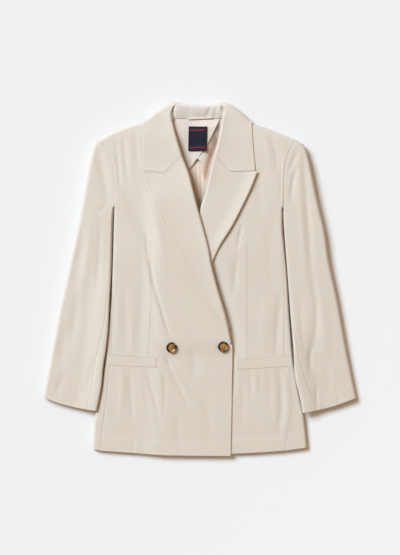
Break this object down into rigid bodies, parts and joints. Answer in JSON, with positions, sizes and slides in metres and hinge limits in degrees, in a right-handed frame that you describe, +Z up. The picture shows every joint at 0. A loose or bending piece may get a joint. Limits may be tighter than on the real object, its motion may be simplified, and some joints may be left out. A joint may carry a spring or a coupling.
{
  "type": "double-breasted blazer",
  "caption": "Cream double-breasted blazer laid flat, peaked lapels, slanted welt pockets, tortoiseshell buttons, long sleeves beside the body",
  "frame": {"origin": "middle of the blazer's laid outline, on the surface it lies on", "axes": "+Y towards the collar, +X towards the wearer's left sleeve, +Z up out of the front"},
  "size_m": [0.688, 0.7773, 0.0352],
  "materials": {
    "cloth": "cream wool-blend suiting, matt twill, pressed",
    "inner_cloth": "pinkish beige facing cloth, matt",
    "lining": "cream lining, soft sheen",
    "button": "tortoiseshell resin, polished",
    "label": "dark navy woven tape, plain"
  },
  "bodies": {
    "root": {"back": "cloth", "front_right": "cloth", "front_left": "cloth", "side_panel_right": "cloth", "side_panel_left": "cloth", "sleeve_top_right": "cloth", "sleeve_under_right": "cloth", "sleeve_top_left": "cloth", "sleeve_under_left": "cloth", "lapel_right": "cloth", "lapel_left": "cloth", "collar_fall": "cloth", "collar_stand": "cloth", "neck_facing": "inner_cloth", "lining": "lining", "label": "label", "hanger_loop": "cloth", "pocket_right": "cloth", "pocket_left": "cloth", "button_decorative": "button", "button_fastened": "button"}
  },
  "joints": []
}
